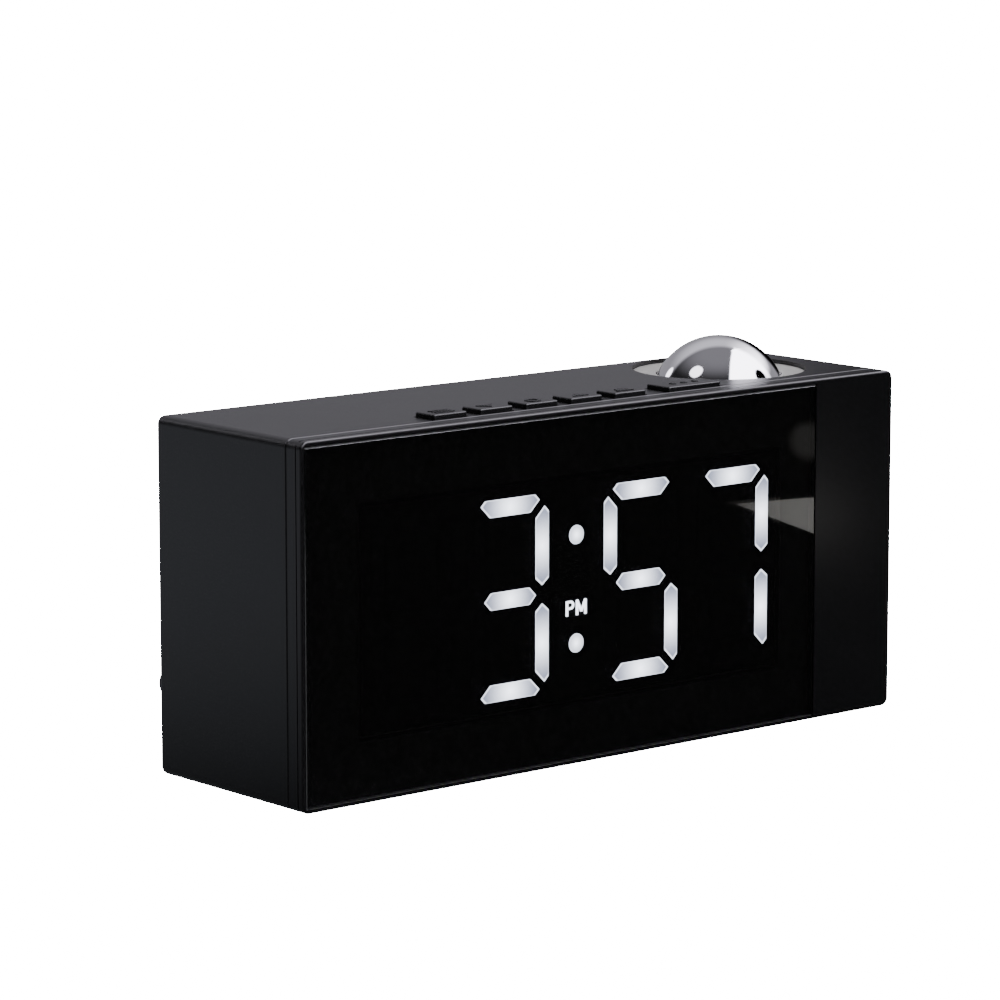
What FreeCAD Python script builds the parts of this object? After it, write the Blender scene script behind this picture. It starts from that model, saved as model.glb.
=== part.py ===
# Projection alarm clock: a black case with a flush front lens, seven-segment digits behind it,
# six push buttons on top, a tilting projector ball in a dish, and a battery bay and power socket
# at the back. Millimetres, +Z up, +X to the right seen from the front, the front looks along -Y.
# The origin is the middle of the footprint, on the surface that the feet stand on.
import FreeCAD, Part
import math
import os
import re
import Sketcher
from FreeCAD import Vector

SIZES = {
    # Case
    "case_wall": 2.2,
    "corner_round": 2.0,
    "back_round": 1.5,
    "front_round": 0.6,
    "seam_chamfer": 0.3,
    "bezel_depth": 5.5,
    "fit_gap": 0.15,
    # Feet
    "foot_stand": 0.8,
    "foot_radius": 4.5,
    "foot_recess": 0.5,
    "foot_inset_side": 14,
    "foot_inset_front": 13,
    # Lens and its tape
    "rim_side": 1.1,
    "rim_top": 1.4,
    "rim_bottom": 0.9,
    "lens_margin_left": 20.3,
    "lens_margin_right": 13.9,
    "strip_wide": 26.5,
    "lens_thick": 2.0,
    "lens_chamfer": 0.35,
    "tape_thick": 0.2,
    "bezel_plate": 2.0,
    "trim_line": 0.35,
    "trim_line_back": 1.7,
    "tongue_long": 2.0,
    "tongue_thick": 1.1,
    # Digits
    "display_low": 17.7,
    "display_above": 19.5,
    "digit_wide": 23.7,
    "digit_high": 47.8,
    "digit_pitch": 29.8,
    "colon_pitch": 40.9,
    "segment_thick": 4.15,
    "segment_slit": 3.0,
    "segment_depth": 2.0,
    "segment_gap": 0.05,
    "colon_radius": 2.3,
    "colon_half_height": 13,
    "mark_wide": 6.8,
    "mark_high": 4.0,
    "mark_drop": 4.5,
    "block_margin": 2.6,
    "block_depth": 7.8,
    "block_gap": 0.25,
    # Main board
    "board_thick": 1.6,
    "board_margin": 8.3,
    "board_edge": 2.6,
    "board_boss_radius": 2.3,
    "chip_high": 0.9,
    "chip_long": 3.2,
    "chip_wide": 1.8,
    # Small screws
    "small_shank_radius": 1.0,
    "small_head_radius": 1.9,
    "small_head_high": 1.3,
    "small_screw_long": 5.0,
    "screw_clear": 0.2,
    "screw_bite": 0.05,
    # Case screws and their pillars
    "pillar_side": 6.0,
    "pillar_low": 8.5,
    "pillar_radius": 3.9,
    "pillar_web": 2.5,
    "well_radius": 2.9,
    "case_boss_radius": 3.3,
    "case_boss_long": 6.8,
    "case_shank_radius": 1.45,
    "case_head_radius": 2.7,
    "case_head_high": 2.0,
    "case_screw_long": 7.8,
    # Buttons
    "button_wide": 10.3,
    "button_deep": 7.0,
    "button_pitch": 13.9,
    "button_left": 49.1,
    "button_back": 10.5,
    "button_proud": 1.2,
    "button_gap": 0.25,
    "button_travel": 0.6,
    "button_edge": 0.4,
    "flange_thick": 1.2,
    "flange_wide": 1.0,
    "rest_gap": 0.05,
    "stem_radius": 1.6,
    "stem_long": 1.7,
    "snooze_wide": 17.3,
    "snooze_deep": 8.2,
    "snooze_step": 20.3,
    # Key board and switches
    "switch_side": 6.0,
    "switch_high": 3.5,
    "plunger_radius": 1.7,
    "plunger_high": 0.7,
    "key_board_front": 6.5,
    "key_board_deep": 15,
    "key_board_overhang": 6,
    "key_post_radius": 2.4,
    "key_post_back": 18.6,
    # Projector dish
    "ball_drop": 8.9,
    "ring_room": 4.72,
    "ring_side": 8.4,
    "ring_front": 9.2,
    "ring_back": 2.2,
    "dish_gap": 0.2,
    "dish_recess": 1.0,
    "dish_slope": 0.4,
    "dish_thick": 1.3,
    "ledge_reach": 1.7,
    "ledge_wall": 1.3,
    "ledge_thick": 1.4,
    "ear_gap": 0.3,
    "ear_thick": 2.2,
    "ear_half_wide": 4.2,
    "hook_wide": 6,
    "hook_gap": 0.3,
    "hook_thick": 1.4,
    "hook_long": 3.2,
    "barb_reach": 0.9,
    # Projector ball
    "ball_radius": 17.08,
    "ball_wall": 1.8,
    "ball_clear": 0.35,
    "flat_cut": 1.18,
    "lens_tilt": 60,
    "pin_radius": 2.0,
    "pin_run_gap": 0.05,
    "pin_start": 12.0,
    "pin_boss_radius": 4.0,
    "aperture_radius": 6.6,
    "sleeve_radius": 7.8,
    "sleeve_low": 9.0,
    "barrel_wall": 1.1,
    "barrel_gap": 0.05,
    "barrel_top": 13.4,
    "barrel_low": 0.4,
    "optic_thick": 3.2,
    "film_place": 4.0,
    "film_thick": 0.8,
    "seat_step": 0.7,
    "cap_ring_inner": 5.0,
    "lamp_board_thick": 1.2,
    "lamp_board_radius": 8.2,
    "lamp_radius": 2.5,
    "lead_hole_radius": 2.6,
    # Battery bay
    "bay_centre": -28,
    "bay_low": 15,
    "door_thick": 1.8,
    "door_gap": 0.3,
    "bay_wall": 1.6,
    "bay_ledge": 3.0,
    "door_pin_radius": 0.7,
    "door_pin_long": 1.4,
    "door_grip_radius": 6,
    "cell_radius": 5.25,
    "cell_long": 44.5,
    "cell_nub_radius": 1.9,
    "cell_nub_long": 0.8,
    "cell_pitch": 11.2,
    "cell_end_room": 3.75,
    "cell_side_room": 0.15,
    "cell_back_room": 2.1,
    "contact_thick": 0.5,
    "contact_gap": 0.05,
    # Sounder
    "sounder_centre": 30,
    "sounder_height": 29,
    "sounder_radius": 14,
    "sounder_deep": 5.5,
    "sounder_magnet_radius": 7,
    "sounder_magnet_deep": 3,
    "sounder_collar": 1.3,
    "sounder_collar_long": 4,
    "grille_hole_radius": 0.8,
    "grille_pitch": 3.6,
    # Power socket
    "socket_side": 7.0,
    "socket_height": 20.85,
    "collar_radius": 4.5,
    "collar_proud": 3.6,
    "socket_neck_radius": 4.0,
    "socket_bore_radius": 2.8,
    "socket_bore_deep": 9.5,
    "socket_block": 9.4,
    "socket_block_deep": 9,
    "socket_pin_radius": 1.0,
    "socket_pin_short": 1.2,
}

doc = FreeCAD.newDocument("projection_alarm_clock")
sheet = doc.addObject("Spreadsheet::Sheet", "Sizes")
for row, (size, value) in enumerate(SIZES.items(), start=1):
    sheet.set(f"A{row}", size)
    sheet.set(f"B{row}", str(value))
    sheet.setAlias(f"B{row}", size)
doc.recompute()

# Places that several pieces share, as expressions on the sheet. The case is as wide and high as the
# display and its margins need, and as deep as the projector's ring and its margins.
DIGITS_WIDE = "(2 * digit_pitch + colon_pitch + digit_wide)"
LENS_WIDE = f"(lens_margin_left + {DIGITS_WIDE} + lens_margin_right)"
CASE_WIDTH = f"(rim_side + {LENS_WIDE} + strip_wide)"
CASE_HEIGHT = "(display_low + digit_high + display_above)"
RING_RADIUS = "(ball_radius + ring_room)"
CASE_DEPTH = f"(ring_front + 2 * {RING_RADIUS} + ring_back)"
LEFT = f"(-{CASE_WIDTH} / 2)"
RIGHT = f"({CASE_WIDTH} / 2)"
FRONT = f"(-({CASE_DEPTH} + collar_proud) / 2)"
BACK = f"({FRONT} + {CASE_DEPTH})"
FLOOR = "foot_stand"
TOP = f"(foot_stand + {CASE_HEIGHT})"
SEAM = f"({FRONT} + bezel_depth)"
CEILING = f"({TOP} - case_wall)"
INNER_BACK = f"({BACK} - case_wall)"
LENS_BACK = f"({FRONT} + lens_thick)"
PLATE_FRONT = f"({LENS_BACK} + tape_thick)"
PLATE_BACK = f"({PLATE_FRONT} + bezel_plate)"
BLOCK_FRONT = f"({PLATE_FRONT} + rest_gap)"
BOARD_FRONT = f"({BLOCK_FRONT} + block_depth)"
BOARD_BACK = f"({BOARD_FRONT} + board_thick)"
LENS_LEFT = f"({LEFT} + rim_side)"
LENS_RIGHT = f"({RIGHT} - strip_wide)"
DIGITS_LEFT = f"({LENS_LEFT} + lens_margin_left)"
DIGITS_RIGHT = f"({LENS_RIGHT} - lens_margin_right)"
DISPLAY_X = f"(({DIGITS_LEFT} + {DIGITS_RIGHT}) / 2)"
DIGITS_LOW = f"({FLOOR} + display_low)"
DIGITS_HIGH = f"({DIGITS_LOW} + digit_high)"
BALL_X = f"({RIGHT} - ring_side - {RING_RADIUS})"
BALL_Y = f"({FRONT} + ring_front + {RING_RADIUS})"
BALL_Z = f"({TOP} - ball_drop)"
DISH_TOP = f"({TOP} - dish_recess)"
LEDGE_TOP = f"({DISH_TOP} - dish_thick)"
LEDGE_LOW = f"({LEDGE_TOP} - ledge_thick)"
LEDGE_INNER = f"({RING_RADIUS} - ledge_reach)"
HOOK_OUTER = f"({LEDGE_INNER} - hook_gap)"
FLAT_REACH = "(ball_radius - flat_cut)"
EAR_INNER = f"({FLAT_REACH} + ear_gap)"
EAR_OUTER = f"({EAR_INNER} + ear_thick)"
FLANGE_TOP = f"({CEILING} - rest_gap)"
STEM_END = f"({FLANGE_TOP} - flange_thick - stem_long)"
PLUNGER_TOP = f"({STEM_END} - button_travel - rest_gap)"
SWITCH_TOP = f"({PLUNGER_TOP} - plunger_high)"
KEY_BOARD_TOP = f"({SWITCH_TOP} - switch_high)"
BUTTON_FIRST = f"({LEFT} + button_left)"
BUTTON_LAST = f"({BUTTON_FIRST} + 4 * button_pitch)"
SNOOZE_X = f"({BUTTON_LAST} + snooze_step)"
BUTTON_Y = f"({FRONT} + button_back)"
DOOR_LOW = f"({FLOOR} + bay_low)"
DOOR_HIGH = f"({DOOR_LOW} + cell_pitch + 2 * cell_radius + 2 * cell_side_room + 2 * bay_ledge)"
BAY_REACH = "(cell_long / 2 + cell_end_room + bay_ledge)"
DOOR_LEFT = f"(bay_centre - {BAY_REACH})"
DOOR_RIGHT = f"(bay_centre + {BAY_REACH})"
DOOR_INNER = f"({BACK} - door_thick)"
BAY_BACK = f"({DOOR_INNER} - door_gap)"
BAY_BOTTOM = f"({BAY_BACK} - 2 * cell_radius - cell_back_room)"
SOCKET_X = f"({LEFT} + socket_side)"
SOCKET_Z = f"({FLOOR} + socket_height)"
COLLAR_END = f"({BACK} + collar_proud)"

CASE_BOSS_END = f"({LENS_BACK} + case_boss_long)"
SCREW_SEAT = f"({CASE_BOSS_END} + rest_gap + pillar_web)"
SCREW_TIP = f"({SCREW_SEAT} - case_screw_long)"

KEYS = ["mode", "down", "set", "up", "alarm"]
nodes = []


def tied(text):
    """The expression with every size's name pointing at the sheet."""
    point = lambda word: "Sizes." + word.group() if word.group() in SIZES else word.group()
    return re.sub(r"[a-z][a-z0-9_]*", point, text)


def number(text):
    """The present value of an expression, in millimetres or degrees."""
    return float(sheet.evalExpression(text))


def new_body(label):
    body = doc.addObject("PartDesign::Body", label)
    body.Label = label
    nodes.append(body)
    return body


def polygon(sketch, points):
    """A closed outline whose corners are held by expressions."""
    first = sketch.GeometryCount
    count = len(points)
    corners = [Vector(number(x), number(y), 0) for x, y in points]
    sides = [Part.LineSegment(corners[i], corners[(i + 1) % count]) for i in range(count)]
    sketch.addGeometry(sides, False)
    for i, (x, y) in enumerate(points):
        after = first + (i + 1) % count
        sketch.addConstraint(Sketcher.Constraint("Coincident", first + i, 2, after, 1))
        for kind, text, value in (("DistanceX", x, corners[i].x), ("DistanceY", y, corners[i].y)):
            place = sketch.addConstraint(Sketcher.Constraint(kind, -1, 1, first + i, 1, value))
            sketch.setExpression(f"Constraints[{place}]", tied(text))


def circle(sketch, x, y, radius):
    """A circle whose centre and radius are held by expressions."""
    centre = Vector(number(x), number(y), 0)
    ring = sketch.addGeometry(Part.Circle(centre, Vector(0, 0, 1), number(radius)), False)
    rules = (
        (Sketcher.Constraint("DistanceX", -1, 1, ring, 3, centre.x), x),
        (Sketcher.Constraint("DistanceY", -1, 1, ring, 3, centre.y), y),
        (Sketcher.Constraint("Radius", ring, number(radius)), radius),
    )
    for rule, text in rules:
        place = sketch.addConstraint(rule)
        sketch.setExpression(f"Constraints[{place}]", tied(text))


def box(x0, y0, x1, y1):
    return [(x0, y0), (x1, y0), (x1, y1), (x0, y1)]


def around(x, y, half_x, half_y):
    """A box with its middle at x and y."""
    return box(f"{x} - ({half_x})", f"{y} - ({half_y})", f"{x} + ({half_x})", f"{y} + ({half_y})")


def new_sketch(body, plane, name, at, outlines):
    """A sketch on one of the body's own planes, moved to the place at along the plane's axis.
    An outline is a list of corners, or a circle's centre and radius."""
    sketch = body.newObject("Sketcher::SketchObject", name)
    support = [part for part in body.Origin.OriginFeatures if part.Role == plane + "_Plane"][0]
    sketch.AttachmentSupport = [(support, "")]
    sketch.MapMode = "FlatFace"
    sketch.setExpression("AttachmentOffset.Base.z", tied(f"-({at})" if plane == "XZ" else at))
    for outline in outlines:
        if isinstance(outline, tuple):
            circle(sketch, *outline)
        else:
            polygon(sketch, outline)
    return sketch


def check_change(body, feature, before, grows):
    doc.recompute()
    change = body.Shape.Volume - before
    if not (change > 1e-6 if grows else change < -1e-6):
        raise ValueError(f"{feature.Name} in {body.Label} changed nothing")


def extrude(body, kind, plane, name, low, high, outlines):
    """A pad or a pocket of the outlines, from low to high along the plane's axis."""
    before = body.Shape.Volume if body.Tip else 0
    sketch = new_sketch(body, plane, name + "_sketch", low, outlines)
    feature = body.newObject("PartDesign::" + kind, name)
    feature.Profile = sketch
    feature.setExpression("Length", tied(f"({high}) - ({low})"))
    feature.Reversed = (plane == "XZ") == (kind == "Pad")
    check_change(body, feature, before, kind == "Pad")
    return feature


def pad(body, plane, name, low, high, *outlines):
    return extrude(body, "Pad", plane, name, low, high, outlines)


def pocket(body, plane, name, low, high, *outlines):
    return extrude(body, "Pocket", plane, name, low, high, outlines)


def turn(body, kind, name, points, x="0", y="0"):
    """A Revolution or a Groove of an outline in radius and height, about a line parallel to Z."""
    before = body.Shape.Volume if body.Tip else 0
    sketch = new_sketch(body, "XZ", name + "_sketch", y, [[(f"({x}) + ({r})", z) for r, z in points]])
    start = Vector(number(x), 0, 0)
    axis = sketch.addGeometry(Part.LineSegment(start, start + Vector(0, 1, 0)), True)
    sketch.addConstraint(Sketcher.Constraint("Vertical", axis))
    sketch.addConstraint(Sketcher.Constraint("DistanceY", -1, 1, axis, 1, 0))
    sketch.addConstraint(Sketcher.Constraint("DistanceY", axis, 1, axis, 2, 1))
    place = sketch.addConstraint(Sketcher.Constraint("DistanceX", -1, 1, axis, 1, start.x))
    sketch.setExpression(f"Constraints[{place}]", tied(x))
    feature = body.newObject("PartDesign::" + kind, name)
    feature.Profile = sketch
    feature.ReferenceAxis = (sketch, ["Axis0"])
    feature.Angle = 360
    check_change(body, feature, before, kind == "Revolution")
    return feature


def dress(body, kind, name, size, wanted):
    """A Fillet or a Chamfer on the edges of the body's last shape that wanted accepts."""
    before = body.Shape.Volume
    edges = [f"Edge{i}" for i, edge in enumerate(body.Shape.Edges, start=1) if wanted(edge)]
    base = body.Tip
    feature = body.newObject("PartDesign::" + kind, name)
    feature.Base = (base, edges)
    feature.setExpression("Radius" if kind == "Fillet" else "Size", tied(size))
    doc.recompute()
    if not edges or abs(body.Shape.Volume - before) < 1e-6:
        raise ValueError(f"{name} in {body.Label} changed nothing")
    return feature


def near(a, b):
    return abs(a - b) < 0.01


def runs_along(edge, axis):
    """True for a straight edge parallel to the axis."""
    ends = [vertex.Point for vertex in edge.Vertexes]
    if len(ends) != 2 or edge.Curve.TypeId != "Part::GeomLine":
        return False
    way = ends[1] - ends[0]
    return near(abs(way.dot(axis)), way.Length)


def lies_at(edge, axis, place):
    """True for an edge that lies in the plane at that place along the axis (0, 1 or 2)."""
    low = (edge.BoundBox.XMin, edge.BoundBox.YMin, edge.BoundBox.ZMin)[axis]
    high = (edge.BoundBox.XMax, edge.BoundBox.YMax, edge.BoundBox.ZMax)[axis]
    return near(low, place) and near(high, place)


def screw_places():
    """Centres of the four case screws, as expressions in X and Z."""
    lows = (f"({FLOOR} + pillar_low)", f"({TOP} - pillar_low)")
    return [(f"({LEFT} + pillar_side)", z) for z in lows] + [(f"({RIGHT} - pillar_side)", z) for z in lows]


def board_screw_places():
    """Centres of the main board's four screws, outside the display block."""
    across = (
        f"({DIGITS_LEFT} - block_margin - board_boss_radius - rest_gap)",
        f"({DIGITS_RIGHT} + block_margin + board_boss_radius + rest_gap)",
    )
    up = (
        f"({DIGITS_LOW} - block_margin + board_boss_radius)",
        f"({DIGITS_HIGH} + block_margin - board_boss_radius)",
    )
    return [(x, z) for x in across for z in up]


def key_post_places():
    """Centres of the key board's three posts, as expressions in X and Y."""
    first = f"({BUTTON_FIRST} + button_pitch / 2)"
    middle = f"({BUTTON_LAST} - button_pitch * 1.5)"
    last = f"({SNOOZE_X} - snooze_wide / 2)"
    return [(x, f"({FRONT} + key_post_back)") for x in (first, middle, last)]


def button_boxes(grow):
    """Plan of each cap, larger all round by grow, in the order of KEYS with the snooze bar last."""
    plans = [(x, "button_wide", "button_deep") for x in button_centres()[:-1]]
    plans.append((button_centres()[-1], "snooze_wide", "snooze_deep"))
    return [around(x, BUTTON_Y, f"{wide} / 2 + {grow}", f"{deep} / 2 + {grow}") for x, wide, deep in plans]


def button_centres():
    """Middles of the caps along X, in the order of KEYS with the snooze bar last."""
    return [f"({BUTTON_FIRST} + {i} * button_pitch)" for i in range(len(KEYS))] + [SNOOZE_X]


# Digits: the outlines of a digit's seven segments, measured from its own left side and low edge.
def segment(letter, left):
    wide = "digit_wide"
    middle = "digit_high / 2"
    thick = "segment_thick"
    half = "segment_slit / 2"
    tip_far = f"({thick} + {half}) / 2"
    tip_near = f"({thick} - {half}) / 2"
    bar = [
        (tip_far, tip_near),
        (thick, "0"),
        (f"{wide} - {thick}", "0"),
        (f"{wide} - ({tip_far})", tip_near),
        (f"{wide} - {thick} - {half}", thick),
        (f"{thick} + {half}", thick),
    ]
    upright = [
        (tip_near, tip_far),
        ("0", thick),
        ("0", f"{middle} - {thick} + {half} / 4"),
        (f"{thick} / 2", f"{middle} - {half} * 1.4"),
        (thick, f"{middle} - {thick} + {half} / 6"),
        (thick, f"{thick} + {half}"),
    ]
    cross = [
        (f"{thick} - {half} / 6", middle),
        (f"{thick} * 1.42", f"{middle} - {thick} / 2"),
        (f"{wide} - {thick} * 1.42", f"{middle} - {thick} / 2"),
        (f"{wide} - {thick} + {half} / 6", middle),
        (f"{wide} - {thick} * 1.42", f"{middle} + {thick} / 2"),
        (f"{thick} * 1.42", f"{middle} + {thick} / 2"),
    ]
    shape = {"a": bar, "d": bar, "g": cross}.get(letter, upright)
    if letter in "bc":
        shape = [(f"{wide} - ({x})", z) for x, z in shape]
    if letter in "abf":
        shape = [(x, f"digit_high - ({z})") for x, z in shape]
    return [(f"{left} + ({x})", f"{DIGITS_LOW} + ({z})") for x, z in shape]


def digit_lefts():
    steps = ("0", "digit_pitch", "digit_pitch + colon_pitch", "2 * digit_pitch + colon_pitch")
    return [f"({DIGITS_LEFT} + {step})" for step in steps]


def colon_circles(radius):
    middle = f"({DIGITS_LOW} + digit_high / 2)"
    return [(DISPLAY_X, f"{middle} {sign} colon_half_height", radius) for sign in "+-"]


def mark_box(grow):
    """The small window between the colon dots that says morning or afternoon."""
    middle = f"({DIGITS_LOW} + digit_high / 2 - mark_drop)"
    return around(DISPLAY_X, middle, f"mark_wide / 2 + {grow}", f"mark_high / 2 + {grow}")


LIT = ("", "abcdg", "acdfg", "abc")
ALL_SEGMENTS = "abcdefg"


# Rear housing: one moulded tub, open at the front, that carries everything but the display.
def make_rear_housing():
    body = new_body("rear_housing")
    pad(body, "XZ", "tub", SEAM, BACK, box(LEFT, FLOOR, RIGHT, TOP))
    dress(body, "Fillet", "long_edges", "corner_round", lambda edge: runs_along(edge, Vector(0, 1, 0)))
    back = number(BACK)
    dress(body, "Fillet", "back_edges", "back_round", lambda edge: lies_at(edge, 1, back))
    seam = number(SEAM)
    dress(body, "Chamfer", "seam_edge", "seam_chamfer", lambda edge: lies_at(edge, 1, seam))
    inside = box(f"{LEFT} + case_wall", f"{FLOOR} + case_wall", f"{RIGHT} - case_wall", CEILING)
    pocket(body, "XZ", "cavity", SEAM, INNER_BACK, inside)
    pillars = [(x, z, "pillar_radius") for x, z in screw_places()]
    pad(body, "XZ", "pillars", f"{CASE_BOSS_END} + rest_gap", f"{INNER_BACK} + rest_gap", *pillars)
    wells = [(x, z, "well_radius") for x, z in screw_places()]
    pocket(body, "XZ", "wells", SCREW_SEAT, BACK, *wells)
    shafts = [(x, z, "case_shank_radius + screw_clear") for x, z in screw_places()]
    pocket(body, "XZ", "shafts", CASE_BOSS_END, BACK, *shafts)
    posts = [(x, y, "key_post_radius") for x, y in key_post_places()]
    pad(body, "XY", "key_posts", KEY_BOARD_TOP, f"{CEILING} + rest_gap", *posts)
    pilots = [(x, y, "small_shank_radius + screw_bite") for x, y in key_post_places()]
    pocket(body, "XY", "key_pilots", KEY_BOARD_TOP, CEILING, *pilots)
    pocket(body, "XY", "button_slots", f"{CEILING} - rest_gap", TOP, *button_boxes("button_gap"))
    ledge = (BALL_X, BALL_Y, f"{RING_RADIUS} + ledge_wall")
    pad(body, "XY", "dish_ledge", LEDGE_LOW, f"{CEILING} + rest_gap", ledge)
    pocket(body, "XY", "dish_seat", LEDGE_TOP, TOP, (BALL_X, BALL_Y, RING_RADIUS))
    pocket(body, "XY", "ball_hole", LEDGE_LOW, TOP, (BALL_X, BALL_Y, LEDGE_INNER))
    make_bay(body)
    sounder = ("sounder_centre", f"{FLOOR} + sounder_height")
    collar_out = (*sounder, "sounder_radius + fit_gap + sounder_collar")
    collar_in = (*sounder, "sounder_radius + fit_gap")
    collar_front = f"({INNER_BACK} - sounder_collar_long)"
    pad(body, "XZ", "sounder_collar", collar_front, f"{INNER_BACK} + rest_gap", collar_out)
    pocket(body, "XZ", "sounder_seat", collar_front, INNER_BACK, collar_in)
    pocket(body, "XZ", "grille", INNER_BACK, BACK, *grille_circles())
    neck = (SOCKET_X, SOCKET_Z, "socket_neck_radius + rest_gap")
    pocket(body, "XZ", "socket_hole", INNER_BACK, BACK, neck)
    feet = [(x, y, "foot_radius + rest_gap") for x, y in foot_places()]
    pocket(body, "XY", "foot_recesses", FLOOR, f"{FLOOR} + foot_recess", *feet)
    return body


def make_bay(body):
    """The battery bay: a walled box behind the door, with a ledge that the door rests on."""
    shell = "door_gap + bay_wall"
    outside = box(
        f"{DOOR_LEFT} - ({shell})",
        f"{DOOR_LOW} - ({shell})",
        f"{DOOR_RIGHT} + {shell}",
        f"{DOOR_HIGH} + {shell}",
    )
    pad(body, "XZ", "bay_box", f"{BAY_BOTTOM} - bay_wall", f"{INNER_BACK} + rest_gap", outside)
    recess = box(
        f"{DOOR_LEFT} - door_gap",
        f"{DOOR_LOW} - door_gap",
        f"{DOOR_RIGHT} + door_gap",
        f"{DOOR_HIGH} + door_gap",
    )
    pocket(body, "XZ", "door_recess", BAY_BACK, BACK, recess)
    room = box(
        f"{DOOR_LEFT} + bay_ledge",
        f"{DOOR_LOW} + bay_ledge",
        f"{DOOR_RIGHT} - bay_ledge",
        f"{DOOR_HIGH} - bay_ledge",
    )
    pocket(body, "XZ", "bay_room", BAY_BOTTOM, BACK, room)
    pins = (f"{BACK} - door_thick / 2", f"{DOOR_LOW} + door_thick / 2", "door_pin_radius + pin_run_gap")
    reach = "door_gap + door_pin_long"
    pocket(body, "YZ", "door_pin_holes", f"{DOOR_LEFT} - ({reach})", f"{DOOR_RIGHT} + {reach}", pins)
    grip = ("bay_centre", f"{DOOR_HIGH} + door_gap", "door_grip_radius")
    pocket(body, "XZ", "nail_recess", f"{BACK} - door_thick / 2", BACK, grip)


def grille_circles():
    """Sound holes on three rings round a middle hole."""
    centre_z = f"({FLOOR} + sounder_height)"
    holes = [("sounder_centre", centre_z, "grille_hole_radius")]
    for ring in (1, 2, 3):
        for i in range(6 * ring):
            angle = 60 * i / ring
            x = f"sounder_centre + grille_pitch * {ring} * cos({angle} deg)"
            z = f"{centre_z} + grille_pitch * {ring} * sin({angle} deg)"
            holes.append((x, z, "grille_hole_radius"))
    return holes


def foot_places():
    across = (f"({LEFT} + foot_inset_side)", f"({RIGHT} - foot_inset_side)")
    along = (f"({FRONT} + foot_inset_front)", f"({BACK} - foot_inset_front)")
    return [(x, y) for y in along for x in across]


# Front bezel: the frame that holds the lens, with a plain face to the right of it.
def make_front_bezel():
    body = new_body("front_bezel")
    pad(body, "XZ", "frame", FRONT, SEAM, box(LEFT, FLOOR, RIGHT, TOP))
    dress(body, "Fillet", "long_edges", "corner_round", lambda edge: runs_along(edge, Vector(0, 1, 0)))
    front = number(FRONT)
    seam = number(SEAM)
    dress(body, "Fillet", "front_edge", "front_round", lambda edge: lies_at(edge, 1, front))
    dress(body, "Chamfer", "seam_edge", "seam_chamfer", lambda edge: lies_at(edge, 1, seam))
    lens = lens_box("fit_gap")
    pocket(body, "XZ", "lens_pocket", FRONT, PLATE_FRONT, lens)
    window = block_box("block_gap")
    pocket(body, "XZ", "window", FRONT, SEAM, window)
    side = "(case_wall + fit_gap)"
    hollow = box(
        f"{LEFT} + {side} + tongue_thick",
        f"{FLOOR} + {side} + tongue_thick",
        f"{RIGHT} - {side} - tongue_thick",
        f"{TOP} - {side} - tongue_thick",
    )
    pocket(body, "XZ", "back_hollow", PLATE_BACK, SEAM, hollow)
    side_hollow = box(
        f"{LENS_RIGHT} + case_wall",
        hollow[0][1],
        hollow[1][0],
        hollow[2][1],
    )
    pocket(body, "XZ", "side_hollow", f"{FRONT} + case_wall", PLATE_BACK, side_hollow)
    tongue = box(f"{LEFT} + {side}", f"{FLOOR} + {side}", f"{RIGHT} - {side}", f"{TOP} - {side}")
    pad(body, "XZ", "tongue", f"{SEAM} - rest_gap", f"{SEAM} + tongue_long", tongue, hollow)
    tongue_low = f"({TOP} - {side} - tongue_thick)"
    notches = button_boxes("flange_wide + button_gap")
    pocket(body, "XY", "flange_notches", f"{tongue_low} - rest_gap", CEILING, *notches)
    bosses = [(x, z, "case_boss_radius") for x, z in screw_places()]
    pad(body, "XZ", "case_bosses", f"{PLATE_BACK} - bezel_plate / 2", CASE_BOSS_END, *bosses)
    pilots = [(x, z, "case_shank_radius + screw_bite") for x, z in screw_places()]
    pocket(body, "XZ", "case_pilots", f"{SCREW_TIP} - screw_clear", CASE_BOSS_END, *pilots)
    holders = [(x, z, "board_boss_radius") for x, z in board_screw_places()]
    pad(body, "XZ", "board_bosses", f"{PLATE_BACK} - rest_gap", BOARD_FRONT, *holders)
    holes = [(x, z, "small_shank_radius + screw_bite") for x, z in board_screw_places()]
    pocket(body, "XZ", "board_pilots", PLATE_BACK, BOARD_FRONT, *holes)
    trim_end = f"({FRONT} + trim_line_back + trim_line)"
    middle_z = f"({FLOOR} + {CASE_HEIGHT} / 2)"
    outside = around("0", middle_z, f"{RIGHT} + trim_line", f"{CASE_HEIGHT} / 2 + trim_line")
    inset = around("0", middle_z, f"{RIGHT} - trim_line", f"{CASE_HEIGHT} / 2 - trim_line")
    pocket(body, "XZ", "trim_groove", f"{FRONT} + trim_line_back", trim_end, outside, inset)
    return body


def lens_box(grow):
    return box(
        f"{LENS_LEFT} - ({grow})",
        f"{FLOOR} + rim_bottom - ({grow})",
        f"{LENS_RIGHT} + ({grow})",
        f"{TOP} - rim_top + ({grow})",
    )


def block_box(grow):
    return box(
        f"{DIGITS_LEFT} - block_margin - ({grow})",
        f"{DIGITS_LOW} - block_margin - ({grow})",
        f"{DIGITS_RIGHT} + block_margin + ({grow})",
        f"{DIGITS_HIGH} + block_margin + ({grow})",
    )


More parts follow.
